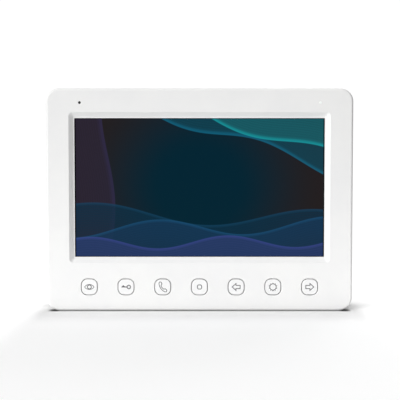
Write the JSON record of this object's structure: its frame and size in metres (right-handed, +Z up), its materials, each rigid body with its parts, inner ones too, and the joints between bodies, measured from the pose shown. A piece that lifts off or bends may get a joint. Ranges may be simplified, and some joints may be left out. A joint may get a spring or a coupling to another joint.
{
  "type": "video intercom monitor",
  "caption": "Flat white wall-mounted intercom monitor with a recessed wide display, a row of square push keys, a microphone hole, a status lamp and a hook-on steel wall bracket.",
  "frame": {"origin": "middle of the wall bracket's four screw holes, on the wall face", "axes": "+X to the right of somebody facing the display, +Z up, +Y into the wall, so the display faces -Y"},
  "size_m": [0.19, 0.0222, 0.138],
  "materials": {
    "white_casing": "fine satin moulded ABS",
    "key_cap": "satin moulded ABS with printed grey icons",
    "zinc_steel": "zinc-plated pressed sheet",
    "plated_screw": "zinc-plated",
    "frame_steel": "thin stainless sheet",
    "black_foam": "closed-cell foam",
    "white_mould": "white polycarbonate",
    "mirror_film": "silver film",
    "clear_acrylic": "clear acrylic",
    "milky_film": "translucent diffusing film",
    "display_glass": "thin display glass",
    "screen": "glossy polarising film, lit picture behind",
    "polyimide": "amber flexible circuit",
    "white_ribbon": "white flat cable with tinned conductors",
    "circuit_board": "green solder mask on glass-fibre board",
    "black_epoxy": "moulded black epoxy",
    "ferrite": "grey ferrite",
    "capacitor_can": "aluminium can on a black base",
    "connector_nylon": "natural nylon",
    "tinned_pin": "tinned brass",
    "switch_body": "black nylon with tinned leads",
    "plunger": "black acetal",
    "cell_steel": "bright nickel-plated can",
    "pipe_plastic": "milky acrylic",
    "lamp_lens": "milky lens over phosphor",
    "speaker_steel": "black painted basket",
    "speaker_paper": "black pressed paper",
    "copper_coil": "enamelled copper winding",
    "magnet_steel": "zinc-plated cup",
    "black_rubber": "moulded rubber",
    "wire_sheath": "red and black insulation"
  },
  "bodies": {
    "wall_bracket": {"wall_bracket": "zinc_steel"},
    "monitor": {"backlight_lamps": "lamp_lens", "cable_sockets": "connector_nylon", "capacitors": "capacitor_can", "cell_clip": "frame_steel", "clamp_screws": "plated_screw", "clock_cell": "cell_steel", "colour_filter_glass": "display_glass", "diffuser_films": "milky_film", "display_clamps": "zinc_steel", "display_flex": "polyimide", "display_gasket": "black_foam", "display_mould_frame": "white_mould", "display_steel_frame": "frame_steel", "display_tray": "frame_steel", "flat_cable_connectors": "connector_nylon", "front_housing": "white_casing", "front_polariser": "screen", "housing_screws": "plated_screw", "key_board": "circuit_board", "key_board_screws": "plated_screw", "key_ribbon": "white_ribbon", "light_guide": "clear_acrylic", "main_board": "circuit_board", "main_board_screws": "plated_screw", "memory_chips": "black_epoxy", "microphone_boot": "black_rubber", "microphone_capsule": "magnet_steel", "microphone_leads": "wire_sheath", "power_coils": "ferrite", "processor_chip": "black_epoxy", "rear_housing": "white_casing", "rear_polariser": "display_glass", "reflector_sheet": "mirror_film", "socket_pins": "tinned_pin", "speaker_basket": "speaker_steel", "speaker_cone": "speaker_paper", "speaker_leads": "wire_sheath", "speaker_magnet": "magnet_steel", "speaker_seal": "black_foam", "status_led": "lamp_lens", "status_light_pipe": "pipe_plastic", "tactile_switches": "switch_body", "tft_glass": "display_glass", "voice_coil": "copper_coil"},
    "key_view_body": {"key_view": "key_cap", "plunger_view": "plunger"},
    "key_unlock_body": {"key_unlock": "key_cap", "plunger_unlock": "plunger"},
    "key_talk_body": {"key_talk": "key_cap", "plunger_talk": "plunger"},
    "key_menu_body": {"key_menu": "key_cap", "plunger_menu": "plunger"},
    "key_left_body": {"key_left": "key_cap", "plunger_left": "plunger"},
    "key_settings_body": {"key_settings": "key_cap", "plunger_settings": "plunger"},
    "key_right_body": {"key_right": "key_cap", "plunger_right": "plunger"}
  },
  "joints": [
    {"name": "unhook_lift", "type": "slide", "parent": "wall_bracket", "child": "monitor", "axis": [0, 0, 1], "range_m": [0, 0.006]},
    {"name": "press_view", "type": "slide", "parent": "monitor", "child": "key_view_body", "axis": [0, 1, 0], "range_m": [0, 0.0004], "stiffness_N_per_m": 3000, "springref_m": -0.0002},
    {"name": "press_unlock", "type": "slide", "parent": "monitor", "child": "key_unlock_body", "axis": [0, 1, 0], "range_m": [0, 0.0004], "stiffness_N_per_m": 3000, "springref_m": -0.0002},
    {"name": "press_talk", "type": "slide", "parent": "monitor", "child": "key_talk_body", "axis": [0, 1, 0], "range_m": [0, 0.0004], "stiffness_N_per_m": 3000, "springref_m": -0.0002},
    {"name": "press_menu", "type": "slide", "parent": "monitor", "child": "key_menu_body", "axis": [0, 1, 0], "range_m": [0, 0.0004], "stiffness_N_per_m": 3000, "springref_m": -0.0002},
    {"name": "press_left", "type": "slide", "parent": "monitor", "child": "key_left_body", "axis": [0, 1, 0], "range_m": [0, 0.0004], "stiffness_N_per_m": 3000, "springref_m": -0.0002},
    {"name": "press_settings", "type": "slide", "parent": "monitor", "child": "key_settings_body", "axis": [0, 1, 0], "range_m": [0, 0.0004], "stiffness_N_per_m": 3000, "springref_m": -0.0002},
    {"name": "press_right", "type": "slide", "parent": "monitor", "child": "key_right_body", "axis": [0, 1, 0], "range_m": [0, 0.0004], "stiffness_N_per_m": 3000, "springref_m": -0.0002}
  ]
}
